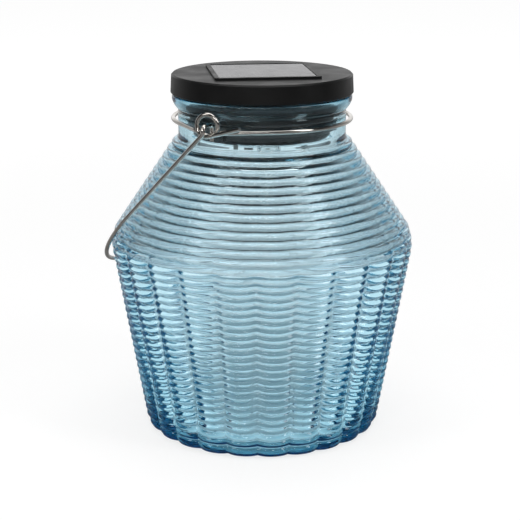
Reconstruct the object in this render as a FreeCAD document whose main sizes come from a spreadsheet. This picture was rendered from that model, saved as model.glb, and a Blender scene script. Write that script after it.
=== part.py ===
import FreeCAD, Part
import math
import os
import re

# Driving dimensions in millimetres and degrees. The base of the jar stands on z = 0, +Z is up,
# and the side of the jar that is seen in the picture faces -Y.
DIMENSIONS = {
    # glass jar, radii measured in the grooves between the ring beads
    "foot_radius": 54.25,
    "belly_radius": 69.0,
    "belly_low_inset": 0.1,
    "belly_top_inset": 0.7,
    "belly_low_height": 85.0,
    "belly_mid_rise": 3.5,
    "belly_top_rise": 6.95,
    "shoulder_top_offset": 0.7,
    "shoulder_rise": 43.55,
    "neck_foot_rise": 0.8,
    "neck_radius": 38.2,
    "neck_wall": 3.6,
    "lip_overhang": 2.7,
    "neck_height": 12.9,
    "lip_rise": 4.4,
    "lip_mid_out": 0.62,
    "lip_mid_up": 0.45,
    "lip_side": 1.9,
    "lip_round": 0.6,
    "body_bead_count": 24,
    "shoulder_bead_count": 13,
    "body_bead_depth": 0.7,
    "shoulder_bead_depth": 1.1,
    "glass_wall": 3.0,
    "jar_floor": 7.0,
    "floor_corner": 5.0,
    "push_up_rise": 1.8,
    "push_up_radius": 44.0,
    "push_up_slope": 4.0,
    "foot_edge": 1.2,
    # wire neck ring with its two eyes, and the bail that hangs in them
    "wire_dia": 2.0,
    "wire_gap": 0.5,
    "ring_gap": 1.2,
    "ring_rise": 8.4,
    "eye_azimuth": -30.5,
    "eye_radius": 4.7,
    "eye_pitch": 2.6,
    "eye_straight": 6.5,
    "eye_dip": 16.5,
    "ring_bend": 6.0,
    "ring_end_gap": 6.0,
    "ring_end_run": 1.5,
    "ring_end_bend": 1.5,
    "ring_tail_length": 17.0,
    "bail_bend": 2.2,
    "bail_tail": 7.3,
    "bail_drop": 3.4,
    "bail_rest_drop": 12.5,
    "bail_corner": 42.0,
    "bail_inset": 15.0,
    "bail_rest_gap": 0.35,
    # lid cap and the bezel round the solar panel
    "cap_overhang": 0.6,
    "cap_height": 9.5,
    "cap_plate": 2.2,
    "cap_draft": 0.4,
    "cap_lower_edge": 1.2,
    "cap_upper_edge": 0.7,
    "plug_fit": 0.3,
    "bezel_side": 47.3,
    "bezel_rise": 1.0,
    "bezel_round": 2.0,
    "panel_turn": 7.3,
    "panel_side": 43.0,
    "panel_fit": 0.2,
    "recess_depth": 1.2,
    "tape_side": 38.0,
    "tape_thick": 0.3,
    "board_thick": 1.0,
    "cell_count": 4,
    "cell_thick": 0.2,
    "cell_gap": 0.6,
    "cell_margin": 1.4,
    "cover_thick": 0.5,
    "lead_hole_radius": 3.6,
    "lead_hole_x": 1.6,
    "lead_hole_y": 11.0,
    # plug that holds the electronics in the neck
    "seal_depth": 3.6,
    "plug_drop": 17.8,
    "plug_wall": 1.6,
    "plug_edge": 0.8,
    "seal_gap": 0.3,
    "seal_sleeve": 1.4,
    "seal_start": 3.7,
    "seal_height": 12.0,
    "fin_count": 4,
    "fin_thick": 1.2,
    "column_inset": 4.0,
    "column_radius": 4.5,
    "column_height": 13.7,
    "column_front_angle": -30.0,
    "column_back_angle": 69.0,
    "column_ledge": 3.0,
    "boss_radius": 3.4,
    "screw_head_radius": 2.3,
    "screw_head_height": 1.8,
    "screw_shank_radius": 1.2,
    "screw_shank_length": 12.0,
    "screw_slot_depth": 0.7,
    "screw_slot_width": 0.7,
    "screw_fit": 0.1,
    "screw_room": 0.3,
    "screw_tip_room": 1.0,
    # battery, its bay, contacts and door
    "battery_radius": 5.25,
    "battery_nub_radius": 2.0,
    "battery_nub_length": 0.8,
    "battery_row_y": 6.0,
    "battery_room": 0.1,
    "contact_thick": 0.4,
    "contact_width": 8.0,
    "contact_height": 11.0,
    "contact_lift": 1.1,
    "contact_end_room": 4.9,
    "leaf_room": 4.5,
    "leaf_low": 1.0,
    "leaf_turn": 0.56,
    "leaf_peak": 5.2,
    "leaf_back": 2.0,
    "leaf_top": 8.6,
    "rib_thick": 1.2,
    "rib_width": 9.0,
    "rib_height": 11.0,
    "bay_end_room": 12.8,
    "bay_width": 12.0,
    "bay_center_x": 2.0,
    "door_margin": 1.0,
    "door_depth": 0.8,
    "door_gap": 0.2,
    "door_ear_reach": 2.5,
    "front_ear_x": -6.0,
    "door_ear_radius": 3.0,
    "door_boss_height": 5.0,
    "door_head_radius": 2.0,
    "door_head_height": 1.2,
    "door_shank_radius": 0.9,
    "door_shank_length": 5.0,
    # circuit board and what it carries
    "pcb_share": 0.952,
    "pcb_width": 16.0,
    "pcb_thick": 1.2,
    "pcb_center_x": -1.0,
    "pcb_center_share": 0.442,
    "pcb_lift": 8.1,
    "post_radius": 2.25,
    "post_inset_x": 2.5,
    "post_inset_y": 2.5,
    "pcb_head_radius": 1.9,
    "pcb_head_height": 1.2,
    "pcb_shank_radius": 0.9,
    "pcb_shank_length": 6.0,
    "chip_length": 5.0,
    "chip_width": 4.0,
    "chip_height": 1.5,
    "chip_x": -4.0,
    "chip_y": -2.5,
    "coil_radius": 3.0,
    "coil_flange_radius": 3.4,
    "coil_flange_height": 1.0,
    "coil_height": 6.0,
    "coil_inset": 5.5,
    "coil_y": -3.0,
    "led_x": 4.0,
    "led_y": -0.5,
    "led_radius": 2.5,
    "led_flange_radius": 2.9,
    "led_flange_height": 1.0,
    "led_barrel": 6.0,
    "lens_radius": 5.2,
    "lens_wall": 1.1,
    "lens_fit": 0.3,
    "lens_flange_radius": 6.5,
    "lens_flange_height": 1.0,
    "lens_drop": 1.0,
    "switch_inset": 4.5,
    "switch_y": -0.5,
    "switch_length": 8.6,
    "switch_width": 4.4,
    "switch_height": 4.0,
    "switch_slot_depth": 2.4,
    "slider_length": 2.0,
    "slider_width": 1.8,
    "slider_entry": 2.0,
    "slider_reach": 1.5,
    "slider_collar_length": 6.0,
    "slider_collar_width": 3.6,
    "slider_collar_height": 1.0,
    "slider_travel": 2.0,
    "slider_room": 0.3,
    # insulated leads
    "lead_dia": 1.2,
    "lead_bend": 2.0,
    "lead_pitch": 4.0,
    "lead_row_y": 5.0,
    "lead_first_x": -4.5,
    "lead_start_room": 0.1,
    "battery_lead_rise": 4.0,
    "red_lead_drop": 7.5,
    "black_lead_drop": 9.5,
}

doc = FreeCAD.newDocument("solar_jar_lantern")
sheet = doc.addObject("Spreadsheet::Sheet", "Dims")
for row, (alias, value) in enumerate(DIMENSIONS.items(), start=1):
    sheet.set("A%d" % row, alias)
    sheet.set("B%d" % row, str(value))
    sheet.setAlias("B%d" % row, alias)
doc.recompute()

UP = FreeCAD.Vector(0, 0, 1)
DOWN = FreeCAD.Vector(0, 0, -1)
ALONG_X = FreeCAD.Vector(1, 0, 0)
ALIAS = re.compile(r"\b[a-z]+(?:_[a-z]+)+\b")
LOOP_STEPS = 4
GAP_STEP = 0.4
GAP_SKIP = 6.0
nodes = {}


def value(alias):
    """One driving dimension, read from the sheet."""
    return float(sheet.get(alias))


def count(alias):
    """One driving number of repeats, read from the sheet."""
    return int(round(value(alias)))


def point(x, y, z):
    return FreeCAD.Vector(x, y, z)


def bind(shape, **formulas):
    """Ties each property of a shape to the sheet's cells named in its formula."""
    for name, formula in formulas.items():
        shape.setExpression(name, ALIAS.sub(lambda m: "Dims." + m.group(0), formula))
    return shape


def cylinder(name, radius, height, base, axis=UP):
    shape = bind(doc.addObject("Part::Cylinder", name), Radius=radius, Height=height)
    shape.Placement = FreeCAD.Placement(base, FreeCAD.Rotation(UP, axis))
    return shape


def cone(name, low_radius, high_radius, height, base):
    shape = bind(doc.addObject("Part::Cone", name), Radius1=low_radius, Radius2=high_radius, Height=height)
    shape.Placement = FreeCAD.Placement(base, FreeCAD.Rotation())
    return shape


def half_ball(name, radius, center):
    """The lower half of a ball about the given centre."""
    shape = bind(doc.addObject("Part::Sphere", name), Radius=radius)
    shape.Angle2 = 0.0
    shape.Placement = FreeCAD.Placement(center, FreeCAD.Rotation())
    return shape


def block(name, length, width, height, middle, turn=0.0):
    """A box whose bottom face has its middle at the given point."""
    shape = bind(doc.addObject("Part::Box", name), Length=length, Width=width, Height=height)
    doc.recompute()
    rotation = FreeCAD.Rotation(UP, turn)
    corner = point(-float(shape.Length) / 2, -float(shape.Width) / 2, 0)
    shape.Placement = FreeCAD.Placement(middle + rotation.multVec(corner), rotation)
    return shape


def fuse(name, shapes):
    joined = doc.addObject("Part::MultiFuse", name)
    joined.Shapes = shapes
    joined.Refine = True
    return joined


def cut(name, base, tools):
    """The base with one tool, or several joined tools, taken away."""
    left = doc.addObject("Part::Cut", name)
    left.Base = base
    left.Tool = tools[0] if len(tools) == 1 else fuse(name + "_tools", tools)
    left.Refine = True
    return left


def group(name, shapes):
    """Several alike pieces that share one node."""
    together = doc.addObject("Part::Compound", name)
    together.Links = shapes
    return together


def drawn(name, shape):
    """A shape that is drawn along computed curves."""
    made = doc.addObject("Part::Feature", name)
    made.Shape = shape
    return made


def node(name, shape):
    shape.Label = name
    nodes[name] = shape
    return shape


def rounded_path(points, bends):
    """Edges along straight runs whose inner corners are rounded by the given radii."""
    edges = []
    last = points[0]
    for before, corner, after, bend in zip(points, points[1:], points[2:], bends):
        inward = (before - corner).normalize()
        outward = (after - corner).normalize()
        half = math.acos(max(-1.0, min(1.0, inward.dot(outward)))) / 2
        reach = bend / math.tan(half)
        middle = (inward + outward).normalize()
        first = corner + inward * reach
        second = corner + outward * reach
        nearest = corner + middle * (bend / math.sin(half) - bend)
        edges.append(Part.makeLine(last, first))
        edges.append(Part.Arc(first, nearest, second).toShape())
        last = second
    edges.append(Part.makeLine(last, points[-1]))
    return edges


def tube(edges, radius):
    """A round wire drawn along touching edges."""
    path = Part.Wire(edges)
    start = edges[0].valueAt(edges[0].FirstParameter)
    heading = edges[0].tangentAt(edges[0].FirstParameter)
    ring = Part.Wire([Part.Circle(start, heading, radius).toShape()])
    return path.makePipeShell([ring], True, False)


def least_gap(edges, diameter, step, skip):
    """The least clear distance between parts of one wire that lie further apart along it than skip."""
    points = []
    for edge in edges:
        points += edge.discretize(max(2, int(edge.Length / step) + 1))[:-1]
    travelled = [0.0]
    for first, second in zip(points, points[1:]):
        travelled.append(travelled[-1] + first.distanceToPoint(second))
    least = None
    for i, first in enumerate(points):
        for j in range(i + 1, len(points)):
            if travelled[j] - travelled[i] > skip:
                gap = first.distanceToPoint(points[j]) - diameter
                least = gap if least is None else min(least, gap)
    return least


# Heights and radii that several pieces share.
neck_inner = value("neck_radius") - value("neck_wall")
belly_low = value("belly_radius") - value("belly_low_inset")
lip_radius = value("neck_radius") + value("lip_overhang")
belly_top_z = value("belly_low_height") + value("belly_top_rise")
neck_foot_z = belly_top_z + value("shoulder_rise")
neck_low_z = neck_foot_z + value("neck_foot_rise")
lip_low_z = neck_low_z + value("neck_height")
seat_z = lip_low_z + value("lip_rise") + value("lip_side")
cap_top = seat_z + value("cap_height")
cap_roof = cap_top - value("cap_plate")
recess_floor = cap_top - value("recess_depth")
plug_radius = neck_inner - value("seal_depth")
plug_inner = plug_radius - value("plug_wall")
plug_bottom = seat_z - value("plug_drop")
plug_floor = plug_bottom + value("plug_wall")
column_circle = plug_inner - value("column_inset")
contact_spread = 2 * (plug_inner - value("contact_end_room"))
pcb_half = plug_inner * value("pcb_share") / 2
pcb_mid = point(value("pcb_center_x"), -plug_inner * value("pcb_center_share"), 0)
PLUG_RADIUS = "neck_radius - neck_wall - seal_depth"
PLUG_INNER = PLUG_RADIUS + " - plug_wall"
BAY_LENGTH = "2 * (" + PLUG_INNER + ") - bay_end_room"
PCB_LENGTH = "(" + PLUG_INNER + ") * pcb_share"
BATTERY_LENGTH = "2 * (" + PLUG_INNER + " - contact_end_room) - leaf_room - battery_nub_length"
CAP_RADIUS = "neck_radius + lip_overhang + cap_overhang"
PLUG_HEIGHT = "plug_drop + cap_height - cap_plate"

# Glass jar: a turned outline whose outside is a row of rounded beads.


def bead_row(first, last, number, depth):
    """Arcs bulging outwards between equal steps from one groove to another."""
    step = (last - first) * (1.0 / number)
    outward = point(step.z, 0, -step.x).normalize()
    arcs = []
    for i in range(number):
        low = first + step * i
        high = first + step * (i + 1)
        crest = (low + high) * 0.5 + outward * depth
        arcs.append(Part.Arc(low, crest, high).toShape())
    return arcs


def glass_outline():
    """The closed half section of the jar."""
    wall = value("glass_wall")
    edge = value("foot_edge")
    foot = point(value("foot_radius"), 0, edge)
    low = point(belly_low, 0, value("belly_low_height"))
    mid = point(value("belly_radius"), 0, low.z + value("belly_mid_rise"))
    top = point(value("belly_radius") - value("belly_top_inset"), 0, belly_top_z)
    neck_foot = point(value("neck_radius") + value("shoulder_top_offset"), 0, neck_foot_z)
    neck_low = point(value("neck_radius"), 0, neck_low_z)
    lip_low = point(value("neck_radius"), 0, lip_low_z)
    lip_side = point(lip_radius, 0, lip_low.z + value("lip_rise"))
    lip_mid = point(
        lip_low.x + value("lip_overhang") * value("lip_mid_out"),
        0,
        lip_low.z + value("lip_rise") * value("lip_mid_up"),
    )
    round_off = value("lip_round")
    lip_edge = point(lip_radius, 0, seat_z - round_off)
    lip_top = point(lip_radius - round_off, 0, seat_z)
    mouth_top = point(neck_inner + round_off, 0, seat_z)
    mouth_low = point(neck_inner, 0, seat_z - round_off)
    slope = (neck_foot - top).normalize()
    inward = point(-slope.z, 0, slope.x)
    inner_top = top + inward * wall
    rise = (inner_top.x - neck_inner) / -slope.x
    inner_neck = inner_top + slope * rise
    inner_low = point(low.x - wall, 0, low.z)
    taper = (low - foot).normalize()
    floor_z = value("jar_floor")
    corner = value("floor_corner")
    floor_rim = inner_low - taper * ((inner_low.z - floor_z) / taper.z)
    side_end = floor_rim + taper * corner
    floor_end = floor_rim - ALONG_X * corner
    corner_mid = floor_rim + (taper - ALONG_X) * (corner * (1 - math.sin(math.pi / 4)))
    push_up = value("push_up_rise")
    axis_top = point(0, 0, floor_z)
    axis_low = point(0, 0, push_up)
    dish = point(value("push_up_radius") - value("push_up_slope"), 0, push_up)
    ring_in = point(value("push_up_radius"), 0, 0)
    ring_out = point(value("foot_radius") - edge, 0, 0)
    edges = bead_row(foot, low, count("body_bead_count"), value("body_bead_depth"))
    edges += bead_row(low, mid, 1, value("body_bead_depth"))
    edges += bead_row(mid, top, 1, value("body_bead_depth"))
    edges += bead_row(top, neck_foot, count("shoulder_bead_count"), value("shoulder_bead_depth"))
    edges.append(Part.makeLine(neck_foot, neck_low))
    edges.append(Part.makeLine(neck_low, lip_low))
    edges.append(Part.Arc(lip_low, lip_mid, lip_side).toShape())
    for first, second in (
        (lip_side, lip_edge),
        (lip_edge, lip_top),
        (lip_top, mouth_top),
        (mouth_top, mouth_low),
        (mouth_low, inner_neck),
        (inner_neck, inner_top),
        (inner_top, inner_low),
        (inner_low, side_end),
    ):
        edges.append(Part.makeLine(first, second))
    edges.append(Part.Arc(side_end, corner_mid, floor_end).toShape())
    for first, second in (
        (floor_end, axis_top),
        (axis_top, axis_low),
        (axis_low, dish),
        (dish, ring_in),
        (ring_in, ring_out),
        (ring_out, foot),
    ):
        edges.append(Part.makeLine(first, second))
    return Part.Face(Part.Wire(edges))


outline = drawn("jar_outline", glass_outline())
jar = doc.addObject("Part::Revolution", "jar_turned")
jar.Source = outline
jar.Axis = UP
jar.Angle = 360.0
jar.Solid = True
node("glass_jar", jar)

# Neck ring: one length of wire round the neck that is coiled into an eye on two opposite sides.
wire_radius = value("wire_dia") / 2
ring_radius = value("neck_radius") + value("ring_gap") + wire_radius
ring_z = neck_low_z + value("ring_rise")
tail_plane = lip_radius + value("wire_gap") + wire_radius
eye_inner = tail_plane + value("wire_dia") + value("wire_gap")
eye_outer = eye_inner + value("eye_pitch")
leg_plane = eye_outer + value("wire_dia") + value("wire_gap")
dip = math.radians(value("eye_dip"))
eye_side = value("eye_radius") * math.sin(dip)
eye_rise = value("eye_radius") * (1 - math.cos(dip))
eye_low_z = ring_z - eye_rise - (value("eye_straight") - eye_side) * math.tan(dip)
hinge_z = eye_low_z + value("eye_radius")
azimuth = math.radians(value("eye_azimuth"))
front_out = point(math.sin(azimuth), -math.cos(azimuth), 0)
front_along = point(front_out.y, -front_out.x, 0)


def eye_point(side, out, along, z):
    """A point by its distance out from the axis, along the wire's run and height, at one of the two eyes."""
    return front_out * (side * out) + front_along * (side * along) + UP * z


def leave_angle(out, straight):
    """The angle from the eye at which the wire leaves the circle round the neck."""
    far = math.hypot(out, straight)
    return math.atan2(straight, out) + math.acos(ring_radius / far)


def on_circle(side, angle):
    return eye_point(side, ring_radius * math.cos(angle), ring_radius * math.sin(angle), ring_z)


def corner_arc(first, corner, second):
    """The arc that touches two equal runs meeting at a corner."""
    inward = (first - corner).normalize()
    outward = (second - corner).normalize()
    half = math.acos(max(-1.0, min(1.0, inward.dot(outward)))) / 2
    radius = first.distanceToPoint(corner) * math.tan(half)
    middle = (inward + outward).normalize()
    return Part.Arc(first, corner + middle * (radius / math.sin(half) - radius), second).toShape()


def paired_arcs(first, first_heading, second, second_heading):
    """Two arcs that leave one point and reach another along given headings."""
    span = second - first
    spread = 2 * (1 - first_heading.dot(second_heading))
    lean = 2 * span.dot(first_heading + second_heading)
    reach = (math.sqrt(lean * lean + 4 * spread * span.dot(span)) - lean) / (2 * spread)
    near = first + first_heading * reach
    far = second - second_heading * reach
    middle = (near + far) * 0.5
    return [corner_arc(first, near, middle), corner_arc(middle, far, second)]


def eye_loop(side):
    """One coil of wire round the eye's own level axis, from its outer to its inner pass."""
    radius = value("eye_radius")
    shift = eye_inner - eye_outer
    turned = 2 * (math.pi + dip)
    spots = []
    for i in range(LOOP_STEPS + 1):
        share = i / LOOP_STEPS
        angle = turned * share - dip
        out = eye_outer + shift * share * share * (3 - 2 * share)
        spot = eye_point(side, out, radius * math.sin(angle), hinge_z - radius * math.cos(angle))
        turning = turned * radius
        drift = shift * 6 * share * (1 - share)
        heading = eye_point(side, drift, turning * math.cos(angle), turning * math.sin(angle))
        spots.append((spot, heading.normalize()))
    edges = []
    for (first, first_heading), (second, second_heading) in zip(spots, spots[1:]):
        edges += paired_arcs(first, first_heading, second, second_heading)
    return edges


def ring_arc(side, start, end):
    """The wire's run on the circle round the neck from one eye towards the other."""
    middle = (start + end) / 2
    return Part.Arc(on_circle(side, start), on_circle(side, middle), on_circle(side, end)).toShape()


straight = value("eye_straight")
end_straight = value("ring_end_gap") + value("ring_end_run")
leave = leave_angle(eye_inner, straight)
arrive = leave_angle(eye_outer, straight)
end_arrive = leave_angle(eye_inner, end_straight)
bend = value("ring_bend")
loop_z = eye_low_z + eye_rise
tail_z = ring_z + (value("ring_tail_length") - straight) * math.tan(dip)
ring_edges = rounded_path(
    [
        eye_point(1, eye_outer, -value("ring_tail_length"), tail_z),
        eye_point(1, eye_outer, -eye_side, loop_z),
    ],
    [],
)
ring_edges += eye_loop(1)
ring_edges += rounded_path(
    [
        eye_point(1, eye_inner, eye_side, loop_z),
        eye_point(1, eye_inner, straight, ring_z),
        on_circle(1, leave),
    ],
    [bend],
)
ring_edges.append(ring_arc(1, leave, math.pi - arrive))
ring_edges += rounded_path(
    [
        on_circle(-1, -arrive),
        eye_point(-1, eye_outer, -straight, ring_z),
        eye_point(-1, eye_outer, -eye_side, loop_z),
    ],
    [bend],
)
ring_edges += eye_loop(-1)
ring_edges += rounded_path(
    [
        eye_point(-1, eye_inner, eye_side, loop_z),
        eye_point(-1, eye_inner, straight, ring_z),
        on_circle(-1, leave),
    ],
    [bend],
)
ring_edges.append(ring_arc(-1, leave, math.pi - end_arrive))
ring_edges += rounded_path(
    [
        on_circle(1, -end_arrive),
        eye_point(1, eye_inner, -end_straight, ring_z),
        eye_point(1, eye_inner, -value("ring_end_gap"), ring_z),
    ],
    [value("ring_end_bend")],
)
ring = drawn("ring_wire", tube(ring_edges, wire_radius))
node("neck_ring", ring)
ring_clearance = least_gap(ring_edges, value("wire_dia"), GAP_STEP, GAP_SKIP)
print("least gap of the neck ring to itself, mm:", ring_clearance)

# Bail: one length of wire with a bent hook at each end, lying back against the belly of the jar.
half_width = value("belly_radius") - value("bail_inset")
rest_z = value("belly_low_height") - value("bail_rest_drop")
rest_girth = value("foot_radius") + (belly_low - value("foot_radius")) * rest_z / value("belly_low_height")
rest_out = rest_girth + value("body_bead_depth") + value("bail_rest_gap") + wire_radius
apex = math.hypot(rest_out, hinge_z - rest_z)
rest_tilt = math.atan2(hinge_z - rest_z, rest_out)
hang = front_along * math.cos(rest_tilt) - UP * math.sin(rest_tilt)
hinge = UP * hinge_z
tail_drop = UP * value("bail_tail")
leg_drop = UP * value("bail_drop")
bail_edges = rounded_path(
    [
        hinge + front_out * tail_plane - tail_drop,
        hinge + front_out * tail_plane,
        hinge + front_out * leg_plane,
        hinge + front_out * leg_plane - leg_drop,
        hinge + front_out * half_width + hang * apex,
        hinge - front_out * half_width + hang * apex,
        hinge - front_out * leg_plane - leg_drop,
        hinge - front_out * leg_plane,
        hinge - front_out * tail_plane,
        hinge - front_out * tail_plane - tail_drop,
    ],
    [
        value("bail_bend"),
        value("bail_bend"),
        value("bail_bend"),
        value("bail_corner"),
        value("bail_corner"),
        value("bail_bend"),
        value("bail_bend"),
        value("bail_bend"),
    ],
)
bail = drawn("bail_wire", tube(bail_edges, wire_radius))
node("bail_handle", bail)
print("bail rest tilt, degrees:", math.degrees(rest_tilt), "hinge height:", hinge_z)
print("eye planes:", tail_plane, eye_inner, eye_outer, leg_plane, "out:", front_out)

# Lid cap with a raised square bezel, screw bosses inside and a recess for the panel.
turn = value("panel_turn")
cap_low = cone("cap_low", CAP_RADIUS + " - cap_lower_edge", CAP_RADIUS, "cap_lower_edge", point(0, 0, seat_z))
cap_side = cone(
    "cap_side",
    CAP_RADIUS,
    CAP_RADIUS + " - cap_draft",
    "cap_height - cap_lower_edge - cap_upper_edge",
    point(0, 0, seat_z + value("cap_lower_edge")),
)
cap_high = cone(
    "cap_high",
    CAP_RADIUS + " - cap_draft",
    CAP_RADIUS + " - cap_draft - cap_upper_edge",
    "cap_upper_edge",
    point(0, 0, cap_top - value("cap_upper_edge")),
)
bezel = block("bezel", "bezel_side", "bezel_side", "cap_plate + bezel_rise", point(0, 0, cap_roof), turn)
bezel_edges = doc.addObject("Part::Fillet", "bezel_rounded")
bezel_edges.Base = bezel
doc.recompute()
corner_round = value("bezel_round")
bezel_edges.Edges = [
    (i + 1, corner_round, corner_round)
    for i, edge in enumerate(bezel.Shape.Edges)
    if edge.tangentAt(edge.FirstParameter).isParallel(UP, math.radians(1))
]
cap_hollow = cylinder(
    "cap_hollow", PLUG_RADIUS + " + plug_fit", "cap_height - cap_plate", point(0, 0, seat_z)
)
cap_shell = cut("cap_shell", fuse("cap_turned", [cap_low, cap_side, cap_high, bezel_edges]), [cap_hollow])
columns = []
for name in ("column_front_angle", "column_back_angle"):
    angle = math.radians(value(name))
    along = column_circle * math.cos(angle)
    across = column_circle * math.sin(angle)
    columns += [point(along, across, 0), point(-along, across, 0)]
column_top = plug_bottom + value("column_height")
BOSS_HEIGHT = "plug_drop + cap_height - cap_plate - column_height"
bosses = []
pilots = []
for i, spot in enumerate(columns):
    bosses.append(cylinder("boss_%d" % i, "boss_radius", BOSS_HEIGHT, spot + UP * column_top))
    pilots.append(
        cylinder(
            "pilot_%d" % i,
            "screw_shank_radius + screw_fit",
            "screw_shank_length - column_ledge + screw_tip_room",
            spot + UP * column_top,
        )
    )
recess = block(
    "panel_recess",
    "panel_side + 2 * panel_fit",
    "panel_side + 2 * panel_fit",
    "recess_depth + bezel_rise",
    point(0, 0, recess_floor),
    turn,
)
spin = FreeCAD.Rotation(UP, turn)
lead_spot = pcb_mid + point(value("lead_hole_x"), value("lead_hole_y"), 0)
lead_hole = cylinder("lead_hole", "lead_hole_radius", "cap_plate", lead_spot + UP * cap_roof)
node("lid_cap", cut("cap_done", fuse("cap_bossed", [cap_shell] + bosses), pilots + [recess, lead_hole]))

# Solar panel: tape, backing board, silicon strips and clear cover, stacked in the recess.
tape_sheet = block("tape_sheet", "tape_side", "tape_side", "tape_thick", UP * recess_floor, turn)
tape_hole = cylinder("tape_hole", "lead_hole_radius", "tape_thick", lead_spot + UP * recess_floor)
node("panel_tape", cut("tape_cut", tape_sheet, [tape_hole]))
board_z = recess_floor + value("tape_thick")
cells_z = board_z + value("board_thick")
node("panel_board", block("backing", "panel_side", "panel_side", "board_thick", UP * board_z, turn))
strip_pitch = (value("panel_side") - 2 * value("cell_margin") + value("cell_gap")) / value("cell_count")
strips = []
for i in range(count("cell_count")):
    shift = (i - (count("cell_count") - 1) / 2) * strip_pitch
    strips.append(
        block(
            "strip_%d" % i,
            "(panel_side - 2 * cell_margin + cell_gap) / cell_count - cell_gap",
            "panel_side - 2 * cell_margin",
            "cell_thick",
            spin.multVec(point(shift, 0, cells_z)),
            turn,
        )
    )
node("solar_cells", group("strips", strips))
cover_z = cells_z + value("cell_thick")
node("panel_cover", block("cover_sheet", "panel_side", "panel_side", "cover_thick", UP * cover_z, turn))

# Plug housing: a cup that hangs from the cap into the neck.
shell_low = cone(
    "plug_low", PLUG_RADIUS + " - plug_edge", PLUG_RADIUS, "plug_edge", point(0, 0, plug_bottom)
)
shell_side = cylinder(
    "plug_side", PLUG_RADIUS, PLUG_HEIGHT + " - plug_edge", point(0, 0, plug_bottom + value("plug_edge"))
)
shell_hollow = cylinder("plug_hollow", PLUG_INNER, PLUG_HEIGHT + " - plug_wall", point(0, 0, plug_floor))
cup = cut("plug_cup", fuse("plug_turned", [shell_low, shell_side]), [shell_hollow])
inside = []
openings = []
for i, spot in enumerate(columns):
    inside.append(cylinder("column_%d" % i, "column_radius", "column_height", spot + UP * plug_bottom))
    openings.append(
        cylinder(
            "head_well_%d" % i,
            "screw_head_radius + screw_room",
            "column_height - column_ledge",
            spot + UP * plug_bottom,
        )
    )
    openings.append(
        cylinder(
            "shank_way_%d" % i,
            "screw_shank_radius + screw_room",
            "column_height",
            spot + UP * plug_bottom,
        )
    )
battery_y = value("battery_row_y")
half_spread = contact_spread / 2 + value("contact_thick") + value("rib_thick") / 2
for i, side in enumerate((1, -1)):
    inside.append(
        block(
            "end_rib_%d" % i,
            "rib_thick",
            "rib_width",
            "rib_height + plug_wall / 2",
            point(side * half_spread, battery_y, plug_floor - value("plug_wall") / 2),
        )
    )
ear_y = value("bay_width") / 2 + value("door_margin") + value("door_ear_reach")
neck_shift = (value("door_ear_reach") + value("door_margin")) / 2
ear_x = value("bay_center_x")
ears = [
    point(ear_x, battery_y + ear_y, 0),
    point(value("front_ear_x"), battery_y - ear_y, 0),
]
for i, spot in enumerate(ears):
    ear_foot = spot + UP * plug_bottom
    inside.append(cylinder("ear_boss_%d" % i, "door_ear_radius", "door_boss_height + plug_wall", ear_foot))
pcb_z = plug_floor + value("pcb_lift")
post_x = pcb_half - value("post_inset_x")
post_y = value("pcb_width") / 2 - value("post_inset_y")
posts = [pcb_mid + point(post_x, post_y, 0), pcb_mid + point(-post_x, post_y, 0)]
for i, spot in enumerate(posts):
    post_foot = spot + UP * (plug_floor - value("plug_wall") / 2)
    inside.append(cylinder("post_%d" % i, "post_radius", "pcb_lift + plug_wall / 2", post_foot))
    openings.append(
        cylinder(
            "post_pilot_%d" % i,
            "pcb_shank_radius + screw_fit",
            "pcb_shank_length - pcb_thick + screw_tip_room / 2",
            spot + UP * pcb_z,
            DOWN,
        )
    )
bay_spot = point(value("bay_center_x"), battery_y, plug_bottom)
openings.append(block("bay", BAY_LENGTH, "bay_width", "plug_wall", bay_spot))
openings.append(
    block(
        "door_rebate",
        BAY_LENGTH + " + 2 * door_margin",
        "bay_width + 2 * door_margin",
        "door_depth",
        bay_spot,
    )
)
for i, spot in enumerate(ears):
    openings.append(cylinder("ear_rebate_%d" % i, "door_ear_radius", "door_depth", spot + UP * plug_bottom))
    openings.append(
        block(
            "ear_bridge_%d" % i,
            "2 * door_ear_radius",
            "door_ear_reach + door_margin",
            "door_depth",
            point(spot.x, spot.y - neck_shift * (1 if spot.y > battery_y else -1), plug_bottom),
        )
    )
    openings.append(
        cylinder(
            "ear_pilot_%d" % i,
            "door_shank_radius + screw_fit",
            "door_shank_length + screw_tip_room / 2",
            spot + UP * plug_bottom,
        )
    )
led_spot = pcb_mid + point(value("led_x"), value("led_y"), 0)
openings.append(cylinder("lens_hole", "lens_radius + lens_fit", "plug_wall", led_spot + UP * plug_bottom))
switch_spot = pcb_mid + point(value("switch_inset") - pcb_half, value("switch_y"), 0)
slider_rest = switch_spot - ALONG_X * (value("slider_travel") / 2)
openings.append(
    block(
        "switch_slot",
        "slider_length + slider_travel + 2 * slider_room",
        "slider_width + 2 * slider_room",
        "plug_wall",
        switch_spot + UP * plug_bottom,
    )
)
node("plug_housing", cut("plug_done", fuse("plug_fitted", [cup] + inside), openings))

# Silicone sealing ring with a row of fins round the plug.
seal_z = plug_bottom + value("seal_start")
sleeve = cylinder("seal_sleeve", PLUG_RADIUS + " + seal_sleeve", "seal_height", UP * seal_z)
fins = []
fin_step = (value("seal_height") - value("fin_thick")) / max(1, count("fin_count") - 1)
for i in range(count("fin_count")):
    fin_foot = UP * (seal_z + fin_step * i)
    fins.append(cylinder("fin_%d" % i, "neck_radius - neck_wall - seal_gap", "fin_thick", fin_foot))
seal_bore = cylinder("seal_bore", PLUG_RADIUS, "seal_height", UP * seal_z)
node("sealing_ring", cut("seal_cut", fuse("seal_finned", [sleeve] + fins), [seal_bore]))

# Screws: the four that hold the plug to the cap, those of the battery door and those of the board.


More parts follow.
